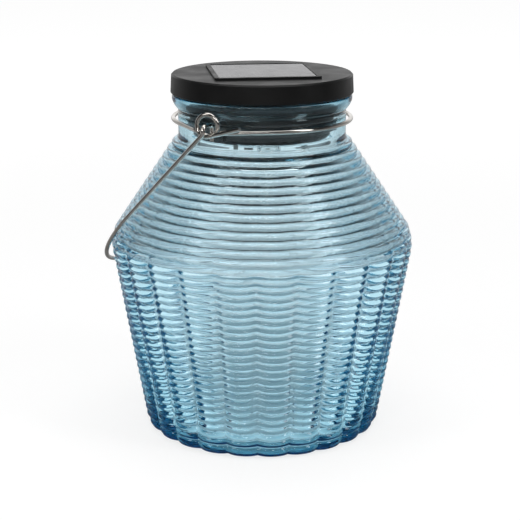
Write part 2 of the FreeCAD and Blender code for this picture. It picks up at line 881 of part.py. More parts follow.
def screw(name, head_radius, head_height, shank_radius, shank_length, seat, axis):
    """A slotted pan-head screw whose shank starts at the seat and runs along the axis."""
    doc.recompute()
    head = cylinder(name + "_head", head_radius, head_height, seat, axis * -1)
    shank = cylinder(name + "_shank", shank_radius, shank_length, seat, axis)
    slot = block(name + "_slot", "2 * " + head_radius, "screw_slot_width", "screw_slot_depth", point(0, 0, 0))
    doc.recompute()
    tall = float(head.Height)
    deep = float(slot.Height)
    lowest = seat - axis * tall if axis.z > 0 else seat + UP * (tall - deep)
    slot.Placement.Base = slot.Placement.Base + lowest
    return cut(name, fuse(name + "_whole", [head, shank]), [slot])


ledge_z = column_top - value("column_ledge")
housing_screws = [
    screw(
        "housing_screw_%d" % i,
        "screw_head_radius",
        "screw_head_height",
        "screw_shank_radius",
        "screw_shank_length",
        spot + UP * ledge_z,
        UP,
    )
    for i, spot in enumerate(columns)
]
node("housing_screws", group("housing_screw_set", housing_screws))

# Battery door with two screw ears.
door_face = block(
    "door_face",
    BAY_LENGTH + " + 2 * door_margin - 2 * door_gap",
    "bay_width + 2 * door_margin - 2 * door_gap",
    "door_depth",
    bay_spot,
)
door_pad = block(
    "door_pad", BAY_LENGTH + " - 2 * door_gap", "bay_width - 2 * door_gap", "plug_wall", bay_spot
)
door_pieces = [door_face, door_pad]
door_holes = []
for i, spot in enumerate(ears):
    door_pieces.append(
        cylinder("ear_%d" % i, "door_ear_radius - door_gap", "door_depth", spot + UP * plug_bottom)
    )
    door_pieces.append(
        block(
            "ear_neck_%d" % i,
            "2 * (door_ear_radius - door_gap)",
            "door_ear_reach + door_margin",
            "door_depth",
            point(spot.x, spot.y - neck_shift * (1 if spot.y > battery_y else -1), plug_bottom),
        )
    )
    door_holes.append(
        cylinder("ear_way_%d" % i, "door_shank_radius + screw_room", "plug_wall", spot + UP * plug_bottom)
    )
node("battery_door", cut("door_done", fuse("door_whole", door_pieces), door_holes))
door_screws = [
    screw(
        "door_screw_%d" % i,
        "door_head_radius",
        "door_head_height",
        "door_shank_radius",
        "door_shank_length",
        spot + UP * plug_bottom,
        UP,
    )
    for i, spot in enumerate(ears)
]
node("door_screws", group("door_screw_set", door_screws))

# Rechargeable cell lying above its door, between a plate and a sprung leaf.
battery_z = plug_floor + value("battery_room") + value("battery_radius")
nub_start = contact_spread / 2 - value("battery_nub_length")
can_start = value("leaf_room") - contact_spread / 2
can = cylinder(
    "battery_can", "battery_radius", BATTERY_LENGTH, point(can_start, battery_y, battery_z), ALONG_X
)
nub = cylinder(
    "battery_nub", "battery_nub_radius", "battery_nub_length", point(nub_start, battery_y, battery_z), ALONG_X
)
node("battery_cell", fuse("battery_whole", [can, nub]))
contact_z = plug_floor + value("contact_lift")
plate_mid = contact_spread / 2 + value("contact_thick") / 2
plus_foot = point(plate_mid, battery_y, contact_z)
plate_plus = block("plate_plus", "contact_thick", "contact_width", "contact_height", plus_foot)
node("contact_positive", plate_plus)


def leaf_outline():
    """The bent strip seen from its edge: plate, slope to the peak that meets the cell, slope back."""
    thick = value("contact_thick")
    face = -contact_spread / 2
    peak = can_start - value("battery_room")
    edge_y = battery_y - value("contact_width") / 2
    spots = [
        (face - thick, contact_z),
        (face + thick, contact_z),
        (peak, contact_z + value("leaf_peak")),
        (peak - value("leaf_back"), contact_z + value("leaf_top")),
        (peak - value("leaf_back") - thick, contact_z + value("leaf_top") - thick / 2),
        (peak - value("leaf_turn"), contact_z + value("leaf_peak")),
        (face, contact_z + value("leaf_low")),
        (face, contact_z + value("contact_height")),
        (face - thick, contact_z + value("contact_height")),
    ]
    corners = [point(x, edge_y, z) for x, z in spots]
    return Part.Face(Part.makePolygon(corners + corners[:1]))


leaf_face = drawn("leaf_section", leaf_outline())
leaf = doc.addObject("Part::Extrusion", "leaf_strip")
leaf.Base = leaf_face
leaf.DirMode = "Custom"
leaf.Dir = point(0, 1, 0)
leaf.Solid = True
bind(leaf, LengthFwd="contact_width")
node("contact_negative", leaf)

# Circuit board on its posts, and the parts soldered to it.
pcb_sheet = block("pcb_sheet", PCB_LENGTH, "pcb_width", "pcb_thick", pcb_mid + UP * pcb_z)
pcb_holes = [
    cylinder("pcb_hole_%d" % i, "pcb_shank_radius + screw_room", "pcb_thick", spot + UP * pcb_z)
    for i, spot in enumerate(posts)
]
node("circuit_board", cut("pcb_drilled", pcb_sheet, pcb_holes))
pcb_top = pcb_z + value("pcb_thick")
board_screws = [
    screw(
        "board_screw_%d" % i,
        "pcb_head_radius",
        "pcb_head_height",
        "pcb_shank_radius",
        "pcb_shank_length",
        spot + UP * pcb_top,
        DOWN,
    )
    for i, spot in enumerate(posts)
]
node("board_screws", group("board_screw_set", board_screws))
chip_spot = pcb_mid + point(value("chip_x"), value("chip_y"), pcb_top)
node("driver_chip", block("chip_block", "chip_length", "chip_width", "chip_height", chip_spot))
coil_spot = pcb_mid + point(pcb_half - value("coil_inset"), value("coil_y"), pcb_top)
coil_foot = cylinder("coil_foot", "coil_flange_radius", "coil_flange_height", coil_spot)
coil_core = cylinder("coil_core", "coil_radius", "coil_height", coil_spot)
coil_cap = cylinder(
    "coil_cap",
    "coil_flange_radius",
    "coil_flange_height",
    coil_spot + UP * (value("coil_height") - value("coil_flange_height")),
)
node("boost_inductor", fuse("coil_whole", [coil_foot, coil_core, coil_cap]))
led_flange = cylinder("led_flange", "led_flange_radius", "led_flange_height", led_spot + UP * pcb_z, DOWN)
led_barrel = cylinder("led_barrel", "led_radius", "led_barrel", led_spot + UP * pcb_z, DOWN)
led_dome = half_ball("led_dome", "led_radius", led_spot + UP * (pcb_z - value("led_barrel")))
node("led", fuse("led_whole", [led_flange, led_barrel, led_dome]))
dome_z = plug_bottom - value("lens_drop")
lens_flange = cylinder("lens_flange", "lens_flange_radius", "lens_flange_height", led_spot + UP * plug_floor)
lens_barrel = cylinder(
    "lens_barrel", "lens_radius", "lens_drop + plug_wall + lens_flange_height", led_spot + UP * dome_z
)
lens_dome = half_ball("lens_dome", "lens_radius", led_spot + UP * dome_z)
LENS_HEIGHT = "lens_drop + plug_wall + lens_flange_height"
lens_bore = cylinder("lens_bore", "lens_radius - lens_wall", LENS_HEIGHT, led_spot + UP * dome_z)
lens_hollow = half_ball("lens_hollow", "lens_radius - lens_wall", led_spot + UP * dome_z)
node(
    "led_lens",
    cut("lens_cut", fuse("lens_whole", [lens_flange, lens_barrel, lens_dome]), [lens_bore, lens_hollow]),
)

# Slide switch under the board; its slider reaches out through the floor of the plug.
switch_z = pcb_z - value("switch_height")
switch_foot = switch_spot + UP * switch_z
switch_can = block("switch_can", "switch_length", "switch_width", "switch_height", switch_foot)
switch_way = block(
    "switch_way",
    "slider_length + slider_travel + 2 * slider_room",
    "slider_width + 2 * slider_room",
    "switch_slot_depth",
    switch_spot + UP * switch_z,
)
node("switch_body", cut("switch_slotted", switch_can, [switch_way]))
slider_low = plug_bottom - value("slider_reach")
STEM_HEIGHT = "slider_reach + plug_wall + pcb_lift - switch_height + slider_entry"
slider_foot = slider_rest + UP * slider_low
slider_stem = block("slider_stem", "slider_length", "slider_width", STEM_HEIGHT, slider_foot)
slider_collar = block(
    "slider_collar",
    "slider_collar_length",
    "slider_collar_width",
    "slider_collar_height",
    slider_rest + UP * (plug_floor + value("slider_room")),
)
node("switch_slider", fuse("slider_whole", [slider_stem, slider_collar]))

# Insulated leads from the panel and from the contacts down to the board.
lead_radius = value("lead_dia") / 2
lead_bend = value("lead_bend")
pad_z = pcb_top
LEAD_NAMES = ("battery_lead_black", "panel_lead_black", "panel_lead_red", "battery_lead_red")
first_pad = pcb_mid + point(value("lead_first_x"), value("lead_row_y"), pad_z)
pads = [first_pad + ALONG_X * (value("lead_pitch") * i) for i, _ in enumerate(LEAD_NAMES)]


def panel_lead(pad, drop):
    """A lead from under the panel, through the hole in the cap and across to its pad."""
    start = point(pad.x, lead_spot.y, board_z)
    turn_z = board_z - drop
    corners = [point(start.x, start.y, turn_z), point(pad.x, pad.y, turn_z)]
    return rounded_path([start] + corners + [pad], [lead_bend] * 2)


def battery_lead(pad, side):
    """A lead from the top edge of a contact, across above the board and down to its pad."""
    start = point(side * plate_mid, battery_y, contact_z + value("contact_height") + value("lead_start_room"))
    high = start.z + value("battery_lead_rise")
    corners = [point(start.x, start.y, high), point(pad.x, pad.y, high)]
    return rounded_path([start] + corners + [pad], [lead_bend] * 2)


lead_runs = (
    battery_lead(pads[0], -1),
    panel_lead(pads[1], value("black_lead_drop")),
    panel_lead(pads[2], value("red_lead_drop")),
    battery_lead(pads[3], 1),
)
for name, edges in zip(LEAD_NAMES, lead_runs):
    node(name, drawn(name + "_run", tube(edges, lead_radius)))

doc.recompute()
faults = []
for made in doc.Objects:
    if "Invalid" in made.State or "Error" in made.State:
        faults.append(made.Name + " is not valid")
for name, made in nodes.items():
    if made.Shape.isNull() or not made.Shape.isValid() or made.Shape.Volume <= 0:
        faults.append(name + " has no sound shape")
if faults:
    raise RuntimeError("; ".join(faults))
os.makedirs("parts", exist_ok=True)
for name, made in nodes.items():
    made.Shape.exportStep("parts/%s.step" % name)
    print(name, "solids", len(made.Shape.Solids), "volume", round(made.Shape.Volume, 1))
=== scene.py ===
"""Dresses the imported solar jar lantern: ribbed blue glass, wire bail, black lid with panel, light plug."""

import logging
import math
from dataclasses import dataclass
from enum import Enum
from typing import Protocol

import bpy
import numpy as np
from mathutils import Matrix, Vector

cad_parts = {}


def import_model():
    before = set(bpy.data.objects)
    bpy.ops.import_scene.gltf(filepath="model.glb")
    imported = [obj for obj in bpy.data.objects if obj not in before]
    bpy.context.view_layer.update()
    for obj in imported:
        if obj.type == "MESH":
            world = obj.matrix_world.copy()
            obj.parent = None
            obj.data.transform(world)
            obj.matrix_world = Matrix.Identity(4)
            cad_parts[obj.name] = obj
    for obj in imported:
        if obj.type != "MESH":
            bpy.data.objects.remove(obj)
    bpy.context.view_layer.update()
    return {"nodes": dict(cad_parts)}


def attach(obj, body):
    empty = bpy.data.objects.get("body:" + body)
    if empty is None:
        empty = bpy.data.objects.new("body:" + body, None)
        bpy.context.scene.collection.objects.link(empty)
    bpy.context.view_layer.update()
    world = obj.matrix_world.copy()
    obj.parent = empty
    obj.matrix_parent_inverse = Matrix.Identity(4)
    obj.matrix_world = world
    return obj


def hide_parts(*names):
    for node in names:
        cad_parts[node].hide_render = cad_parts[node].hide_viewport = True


LOG = logging.getLogger("jar_lantern")

Colour = tuple[float, float, float]
Point = tuple[float, float, float]
Section = tuple[float, float]

MM = 0.001
WHITE: Colour = (1.0, 1.0, 1.0)
GRAIN_LOW = 0.3
GRAIN_HIGH = 0.7


class Ray(str, Enum):
    """The kinds of ray that see the studio's white paper."""

    CAMERA = "Is Camera Ray"
    GLOSSY = "Is Glossy Ray"
    TRANSMISSION = "Is Transmission Ray"


class Axis(str, Enum):
    """The coordinates of a place or a direction."""

    X = "X"
    Y = "Y"
    Z = "Z"


class Sum(str, Enum):
    """The sums that the node graphs use."""

    ABSOLUTE = "ABSOLUTE"
    ABOVE = "GREATER_THAN"
    BELOW = "LESS_THAN"
    FRACTION = "FRACT"
    LARGER = "MAXIMUM"
    MINUS = "SUBTRACT"
    TIMES = "MULTIPLY"


class Slope(str, Enum):
    """How a mapped value passes from its start to its end."""

    EVEN = "LINEAR"
    GENTLE = "SMOOTHSTEP"


def between(first: Section, last: Section, share: float) -> Section:
    """The section at a share of the way from one section to another."""
    return (first[0] + (last[0] - first[0]) * share, first[1] + (last[1] - first[1]) * share)


def line(first: Section, last: Section, steps: int) -> list[Section]:
    """Equal steps along a straight run, without its end."""
    return [between(first, last, step / steps) for step in range(steps)]


def bend(first: Section, corner: Section, last: Section, steps: int) -> list[Section]:
    """Points along a curve that leaves and arrives towards a corner, without its end.

    Args:
        first: where it starts.
        corner: where its two end directions meet.
        last: where it ends.
        steps: how many points.

    Returns:
        Sections in order.
    """
    points = []
    for step in range(steps):
        share = step / steps
        points.append(between(between(first, corner, share), between(corner, last, share), share))
    return points


def smooth(value: np.ndarray, start: float, end: float) -> np.ndarray:
    """An even rise from 0 at start to 1 at end."""
    share = np.clip((value - start) / (end - start), 0.0, 1.0)
    return share * share * (3.0 - 2.0 * share)


class NodeGraph:
    """A tree of shader nodes, with short calls for the ones that this scene uses."""

    def __init__(self, tree: bpy.types.NodeTree) -> None:
        """Takes over a tree and empties it.

        Args:
            tree: the nodes of a material or of the world.
        """
        self.tree = tree
        self.tree.nodes.clear()

    def add(self, kind: str, **inputs: object) -> bpy.types.Node:
        """Adds a node and sets or links its inputs.

        Args:
            kind: Blender's name of the node.
            inputs: values or sockets by input name, with underscores for spaces.

        Returns:
            The new node.
        """
        node = self.tree.nodes.new(kind)
        for key, given in inputs.items():
            self.feed(node.inputs[key.replace("_", " ")], given)
        return node

    def feed(self, socket: bpy.types.NodeSocket, given: object) -> None:
        """Links a socket to another, or gives it a plain value.

        Args:
            socket: the input to fill.
            given: an output socket, a number or a colour.
        """
        if isinstance(given, bpy.types.NodeSocket):
            self.tree.links.new(given, socket)
        elif socket.type == "RGBA":
            socket.default_value = (*given, 1.0)
        else:
            socket.default_value = given

    def span(
        self,
        value: object,
        low: float,
        high: float,
        start: float = GRAIN_LOW,
        end: float = GRAIN_HIGH,
        slope: Slope = Slope.EVEN,
    ) -> bpy.types.NodeSocket:
        """Maps a value from one range to another.

        Args:
            value: the socket that is read.
            low: the result at start.
            high: the result at end.
            start: where the range begins.
            end: where the range ends.
            slope: how it passes from one to the other.

        Returns:
            The mapped value.
        """
        node = self.add("ShaderNodeMapRange", Value=value)
        node.interpolation_type = slope.value
        for name, given in (("From Min", start), ("From Max", end), ("To Min", low), ("To Max", high)):
            self.feed(node.inputs[name], given)
        return node.outputs["Result"]

    def ease(self, value: object, low: float, high: float, start: float, end: float) -> bpy.types.NodeSocket:
        """Maps a value from one range to another, starting and stopping gently."""
        return self.span(value, low, high, start, end, Slope.GENTLE)

    def tone(
        self, value: object, dark: Colour, light: Colour, start: float = GRAIN_LOW, end: float = GRAIN_HIGH
    ) -> bpy.types.NodeSocket:
        """Passes from one colour to another along a value.

        Args:
            value: the socket that is read.
            dark: the colour up to start.
            light: the colour from end.
            start: where the change begins.
            end: where the change ends.

        Returns:
            The colour.
        """
        node = self.add("ShaderNodeValToRGB", Fac=value)
        for element, place, colour in zip(node.color_ramp.elements, (start, end), (dark, light)):
            element.position = place
            element.color = (*colour, 1.0)
        return node.outputs["Color"]

    def mix(self, share: object, first: object, second: object) -> bpy.types.NodeSocket:
        """Blends two colours.

        Args:
            share: how much of the second shows.
            first: the colour at 0.
            second: the colour at 1.

        Returns:
            The blended colour.
        """
        node = self.tree.nodes.new("ShaderNodeMix")
        node.data_type = "RGBA"
        colour_a, colour_b = (socket for socket in node.inputs if socket.type == "RGBA")
        for socket, given in ((node.inputs["Factor"], share), (colour_a, first), (colour_b, second)):
            self.feed(socket, given)
        return next(socket for socket in node.outputs if socket.type == "RGBA")

    def math(self, operation: Sum, first: object, second: object = 0.0) -> bpy.types.NodeSocket:
        """One sum of two numbers.

        Args:
            operation: which sum.
            first: the first number.
            second: the second number.

        Returns:
            The result.
        """
        node = self.tree.nodes.new("ShaderNodeMath")
        node.operation = operation.value
        self.feed(node.inputs[0], first)
        self.feed(node.inputs[1], second)
        return node.outputs[0]

    def bump(self, height: object, depth: float) -> bpy.types.NodeSocket:
        """A fine relief of a depth in metres, as the changed normal."""
        return self.add("ShaderNodeBump", Height=height, Distance=depth).outputs["Normal"]


class ShaderGraph(NodeGraph):
    """One material's nodes."""

    def __init__(self, name: str) -> None:
        """Starts an empty material.

        Args:
            name: the finish's name.
        """
        self.material = bpy.data.materials.new(name)
        self.material.use_nodes = True
        super().__init__(self.material.node_tree)
        self.output = self.add("ShaderNodeOutputMaterial")
        self.place = self.add("ShaderNodeTexCoord").outputs["Object"]

    def stretched(self, scale: Point, turn: float = 0.0) -> bpy.types.NodeSocket:
        """Places on the piece, scaled by axis and turned about the upright axis.

        Args:
            scale: factors along X, Y and Z.
            turn: degrees about +Z.

        Returns:
            The mapped vector.
        """
        turned = (0.0, 0.0, math.radians(turn))
        node = self.add("ShaderNodeMapping", Vector=self.place, Scale=scale, Rotation=turned)
        return node.outputs["Vector"]

    def noise(self, scale: float, detail: float) -> bpy.types.NodeSocket:
        """A grain from 0 to 1, with its grains per metre and how many finer layers it has."""
        return self.add("ShaderNodeTexNoise", Vector=self.place, Scale=scale, Detail=detail).outputs["Fac"]

    def axis(self, name: Axis, vector: object = None) -> bpy.types.NodeSocket:
        """One coordinate of the piece's own place, or of a mapped one."""
        place = self.place if vector is None else vector
        return self.add("ShaderNodeSeparateXYZ", Vector=place).outputs[name.value]

    def reach(self) -> bpy.types.NodeSocket:
        """How far a place is from the piece's own origin.

        Returns:
            The distance in metres.
        """
        node = self.add("ShaderNodeVectorMath", Vector=self.place)
        node.operation = "LENGTH"
        return node.outputs["Value"]

    def surface(self, **inputs: object) -> bpy.types.Material:
        """Closes the material with one Principled surface.

        Args:
            inputs: values or sockets by input name, with underscores for spaces.

        Returns:
            The finished material.
        """
        shader = self.add("ShaderNodeBsdfPrincipled", **inputs)
        self.tree.links.new(shader.outputs["BSDF"], self.output.inputs["Surface"])
        return self.material


class Finish(Protocol):
    """What a piece is made of."""

    name: str

    def material(self) -> bpy.types.Material:
        """Makes the finish's material."""


@dataclass(frozen=True)
class ColouredGlass:
    """Pressed glass that is blue through its whole thickness."""

    name: str = "blue_glass"
    tint: Colour = (0.12, 0.62, 0.77)
    density: float = 80.0
    surface_tint: Colour = (0.985, 0.992, 0.995)
    index: float = 1.5
    smooth: float = 0.0
    dull: float = 0.03
    cloud_scale: float = 45.0
    ripple_scale: float = 130.0
    ripple_depth: float = 0.00006

    def material(self) -> bpy.types.Material:
        """Makes the glass with its faint ripple and its colour in the body of the glass.

        Returns:
            The glass.
        """
        graph = ShaderGraph(self.name)
        cloud = graph.noise(self.cloud_scale, detail=2.0)
        ripple = graph.noise(self.ripple_scale, detail=1.0)
        absorb = graph.add("ShaderNodeVolumeAbsorption", Color=self.tint, Density=self.density)
        graph.tree.links.new(absorb.outputs["Volume"], graph.output.inputs["Volume"])
        return graph.surface(
            Base_Color=self.surface_tint,
            Roughness=graph.span(cloud, self.smooth, self.dull),
            IOR=self.index,
            Transmission_Weight=1.0,
            Normal=graph.bump(ripple, self.ripple_depth),
        )


@dataclass(frozen=True)
class MouldedPlastic:
    """Opaque moulded plastic or resin with a fine even grain."""

    name: str
    dark: Colour
    light: Colour
    smooth: float = 0.34
    dull: float = 0.46
    grain: float = 2600.0
    shine: float = 0.5
    cloud_scale: float = 90.0
    grain_depth: float = 0.00002

    def material(self) -> bpy.types.Material:
        """Makes the plastic with clouded colour and gloss and a fine grain.

        Returns:
            The plastic.
        """
        graph = ShaderGraph(self.name)
        cloud = graph.noise(self.cloud_scale, detail=4.0)
        grain = graph.noise(self.grain, detail=2.0)
        return graph.surface(
            Base_Color=graph.tone(cloud, self.dark, self.light),
            Roughness=graph.span(cloud, self.smooth, self.dull),
            Specular_IOR_Level=self.shine,
            Normal=graph.bump(grain, self.grain_depth),
        )


@dataclass(frozen=True)
class DrawnMetal:
    """Bare or plated metal with fine drawing marks and a few dull patches."""

    name: str
    dark: Colour
    light: Colour
    smooth: float
    dull: float
    mark: float = 1500.0
    mark_depth: float = 0.000012
    cloud_scale: float = 160.0
    dark_to: float = 0.28
    light_from: float = 0.62

    def material(self) -> bpy.types.Material:
        """Makes the metal with clouded tone and gloss and fine marks.

        Returns:
            The metal.
        """
        graph = ShaderGraph(self.name)
        cloud = graph.noise(self.cloud_scale, detail=4.0)
        mark = graph.noise(self.mark, detail=3.0)
        return graph.surface(
            Base_Color=graph.tone(cloud, self.dark, self.light, self.dark_to, self.light_from),
            Metallic=1.0,
            Roughness=graph.span(mark, self.smooth, self.dull),
            Normal=graph.bump(mark, self.mark_depth),
        )


@dataclass(frozen=True)
class SoftRubber:
    """Silicone or cable sleeve: matt, with a faint bloom on its surface."""

    name: str
    dark: Colour
    light: Colour
    sheen: float = 0.15
    smooth: float = 0.42
    dull: float = 0.6
    bloom_scale: float = 240.0
    bloom_full: float = 0.75
    grain: float = 1800.0
    grain_depth: float = 0.00003

    def material(self) -> bpy.types.Material:
        """Makes the rubber with a clouded bloom and a soft grain.

        Returns:
            The rubber.
        """
        graph = ShaderGraph(self.name)
        bloom = graph.noise(self.bloom_scale, detail=5.0)
        grain = graph.noise(self.grain, detail=2.0)
        return graph.surface(
            Base_Color=graph.tone(bloom, self.dark, self.light, end=self.bloom_full),
            Roughness=graph.span(bloom, self.smooth, self.dull),
            Sheen_Weight=self.sheen,
            Normal=graph.bump(grain, self.grain_depth),
        )


@dataclass(frozen=True)
class CellFoam:
    """Double-sided foam tape with open pores."""

    name: str = "foam_tape"
    dark: Colour = (0.42, 0.42, 0.41)
    light: Colour = (0.72, 0.72, 0.70)
    pores: float = 1400.0
    pore_depth: float = 0.0001
    pore_edge: float = 0.1
    wall_edge: float = 0.6
    pore_dull: float = 0.95
    wall_dull: float = 0.8

    def material(self) -> bpy.types.Material:
        """Makes the foam from small round pores.

        Returns:
            The foam.
        """
        graph = ShaderGraph(self.name)
        pores = graph.add("ShaderNodeTexVoronoi", Vector=graph.place, Scale=self.pores).outputs["Distance"]
        return graph.surface(
            Base_Color=graph.tone(pores, self.dark, self.light, self.pore_edge, self.wall_edge),
            Roughness=graph.span(pores, self.pore_dull, self.wall_dull),
            Normal=graph.bump(pores, self.pore_depth),
        )


@dataclass(frozen=True)
class PrintedBoard:
    """Fibreglass board with solder mask and copper tracks under it."""

    name: str = "circuit_resin"
    mask: Colour = (0.012, 0.075, 0.028)
    track: Colour = (0.035, 0.155, 0.06)
    pitch: float = 260.0
    track_width: float = 0.06
    track_run: float = 1.7
    track_depth: float = 0.00003
    weave: float = 1900.0
    smooth: float = 0.28
    dull: float = 0.42

    def material(self) -> bpy.types.Material:
        """Makes the board with square-cornered tracks.

        Returns:
            The board.
        """
        graph = ShaderGraph(self.name)
        tracks = graph.add(
            "ShaderNodeTexBrick",
            Vector=graph.stretched((1.0, 1.0, 0.0)),
            Scale=self.pitch,
            Mortar_Size=self.track_width,
            Brick_Width=self.track_run,
        ).outputs["Fac"]
        weave = graph.noise(self.weave, detail=2.0)
        return graph.surface(
            Base_Color=graph.mix(tracks, self.mask, self.track),
            Roughness=graph.span(weave, self.smooth, self.dull),
            Normal=graph.bump(tracks, self.track_depth),
        )


@dataclass(frozen=True)
class SiliconStrips:
    """Dark blue cells with fine silver fingers across them."""

    name: str = "silicon"
    dark: Colour = (0.010, 0.013, 0.034)
    light: Colour = (0.022, 0.030, 0.075)
    silver: Colour = (0.50, 0.50, 0.52)
    flakes: float = 320.0
    finger_pitch: float = 430.0
    finger_core: float = 0.05
    finger_edge: float = 0.09
    finger_depth: float = 0.00001
    turn: float = -7.3
    smooth: float = 0.18
    dull: float = 0.34

    def material(self) -> bpy.types.Material:
        """Makes the cells with crystal grains and thin fingers along the strips.

        Returns:
            The silicon.
        """
        graph = ShaderGraph(self.name)
        flakes = graph.add("ShaderNodeTexVoronoi", Vector=graph.place, Scale=self.flakes).outputs["Color"]
        grain = graph.add("ShaderNodeSeparateColor", Color=flakes).outputs["Red"]
        body = graph.tone(grain, self.dark, self.light, 0.0, 1.0)
        across = graph.axis(Axis.X, graph.stretched((self.finger_pitch,) * 3, self.turn))
        finger = graph.span(graph.math(Sum.FRACTION, across), 1.0, 0.0, self.finger_core, self.finger_edge)
        return graph.surface(
            Base_Color=graph.mix(finger, body, self.silver),
            Roughness=graph.span(grain, self.smooth, self.dull, 0.0, 1.0),
            Normal=graph.bump(finger, self.finger_depth),
        )


@dataclass(frozen=True)
class ClearResin:
    """Clear or hazy resin that lets light through."""

    name: str
    tint: Colour
    clear: float
    smooth: float
    dull: float
    index: float = 1.49
    haze_scale: float = 150.0
    haze_shade: float = 0.93
    grain: float = 3000.0
    grain_depth: float = 0.000004

    def material(self) -> bpy.types.Material:
        """Makes the resin with clouded gloss and a very fine grain.

        Returns:
            The resin.
        """
        graph = ShaderGraph(self.name)
        haze = graph.noise(self.haze_scale, detail=4.0)
        grain = graph.noise(self.grain, detail=1.0)
        shade = tuple(self.haze_shade * part for part in self.tint)
        return graph.surface(
            Base_Color=graph.tone(haze, shade, self.tint),
            Roughness=graph.span(haze, self.smooth, self.dull),
            IOR=self.index,
            Transmission_Weight=self.clear,
            Normal=graph.bump(grain, self.grain_depth),
        )


@dataclass(frozen=True)
class ShrinkSleeve:
    """Cell in a plain shrink sleeve, bare steel at both ends."""

    name: str = "cell_sleeve"
    sleeve: Colour = (0.045, 0.19, 0.085)
    band: Colour = (0.62, 0.62, 0.58)
    steel: Colour = (0.62, 0.61, 0.59)
    half_sleeve: float = 0.0212
    band_from: float = 0.012
    band_to: float = 0.0165
    wrinkles: float = 420.0
    wrinkle_depth: float = 0.00004
    smooth: float = 0.2
    dull: float = 0.36

    def material(self) -> bpy.types.Material:
        """Makes the sleeve with one pale band, and steel past its rolled edges.

        Returns:
            The sleeve with its bare ends.
        """
        graph = ShaderGraph(self.name)
        along = graph.axis(Axis.X)
        bare = graph.math(Sum.ABOVE, graph.math(Sum.ABSOLUTE, along), self.half_sleeve)
        past_start = graph.math(Sum.ABOVE, along, self.band_from)
        before_end = graph.math(Sum.BELOW, along, self.band_to)
        wrap = graph.mix(graph.math(Sum.TIMES, past_start, before_end), self.sleeve, self.band)
        wrinkle = graph.noise(self.wrinkles, detail=3.0)
        return graph.surface(
            Base_Color=graph.mix(bare, wrap, self.steel),
            Metallic=bare,
            Roughness=graph.span(wrinkle, self.smooth, self.dull),
            Normal=graph.bump(wrinkle, self.wrinkle_depth),
        )


class Paint:
    """The materials made so far, so that pieces of one finish share it."""

    def __init__(self) -> None:
        """Starts with no materials."""
        self.made: dict[str, bpy.types.Material] = {}

    def put(self, piece: bpy.types.Object, finish: Finish) -> None:
        """Gives a piece its finish.

        Args:
            piece: the mesh object.
            finish: what it is made of.
        """
        if finish.name not in self.made:
            self.made[finish.name] = finish.material()
        if not piece.material_slots:
            piece.data.materials.append(None)
        for slot in piece.material_slots:
            slot.material = self.made[finish.name]


@dataclass(frozen=True)
class Bead:
    """The section of one ring bead, in millimetres.

    It stands out of the wall line by one size and the grooves beside it cut in by another. A fullness of 1 is
    round and steep at its grooves, and a fullness of 2 is a flatter arch. Its steps are the points across it.
    """

    stand: float
    cut: float
    fullness: float
    steps: int

    def swell(self, turn: float) -> float:
        """How far the bead is out of the wall line at a turn from 0 to pi across it."""
        return (self.stand + self.cut) * math.sin(turn) ** self.fullness - self.cut


